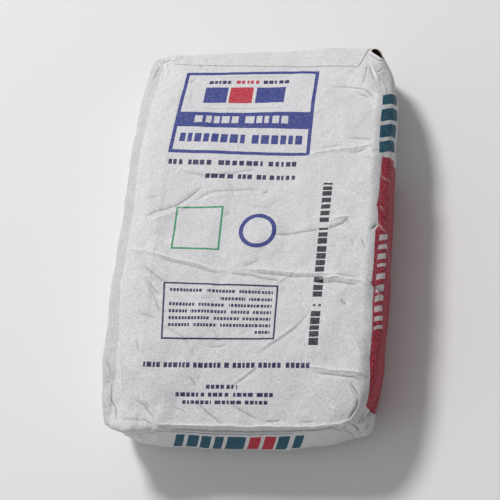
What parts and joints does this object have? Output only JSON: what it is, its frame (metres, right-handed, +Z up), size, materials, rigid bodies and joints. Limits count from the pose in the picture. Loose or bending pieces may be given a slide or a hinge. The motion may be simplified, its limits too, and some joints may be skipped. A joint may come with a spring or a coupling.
{
  "type": "cement bag",
  "caption": "Filled paper valve sack of cement lying flat, with a domed face, square folded ends, glued end patches and a brown filling valve in one corner.",
  "frame": {"origin": "on the floor under the middle of the bag's bounding box", "axes": "+Z up out of the printed front face, +Y along the bag towards the end with the filling valve, +X across the bag towards the side with the coloured band, where the valve opens"},
  "size_m": [0.356, 0.5882, 0.109],
  "materials": {
    "white_paper": "matte bleached sack paper with plain coloured print, creased and a little scuffed",
    "patch_paper": "matte bleached cover sheet, glued down, slightly greyer than the sack",
    "kraft_paper": "raw unbleached brown kraft paper",
    "cement": "fine matte off-white powder"
  },
  "bodies": {
    "root": {"paper_sack": "white_paper", "valve_end_patch": "patch_paper", "plain_end_patch": "patch_paper", "valve_sleeve": "kraft_paper", "cement_fill": "cement"}
  },
  "joints": []
}
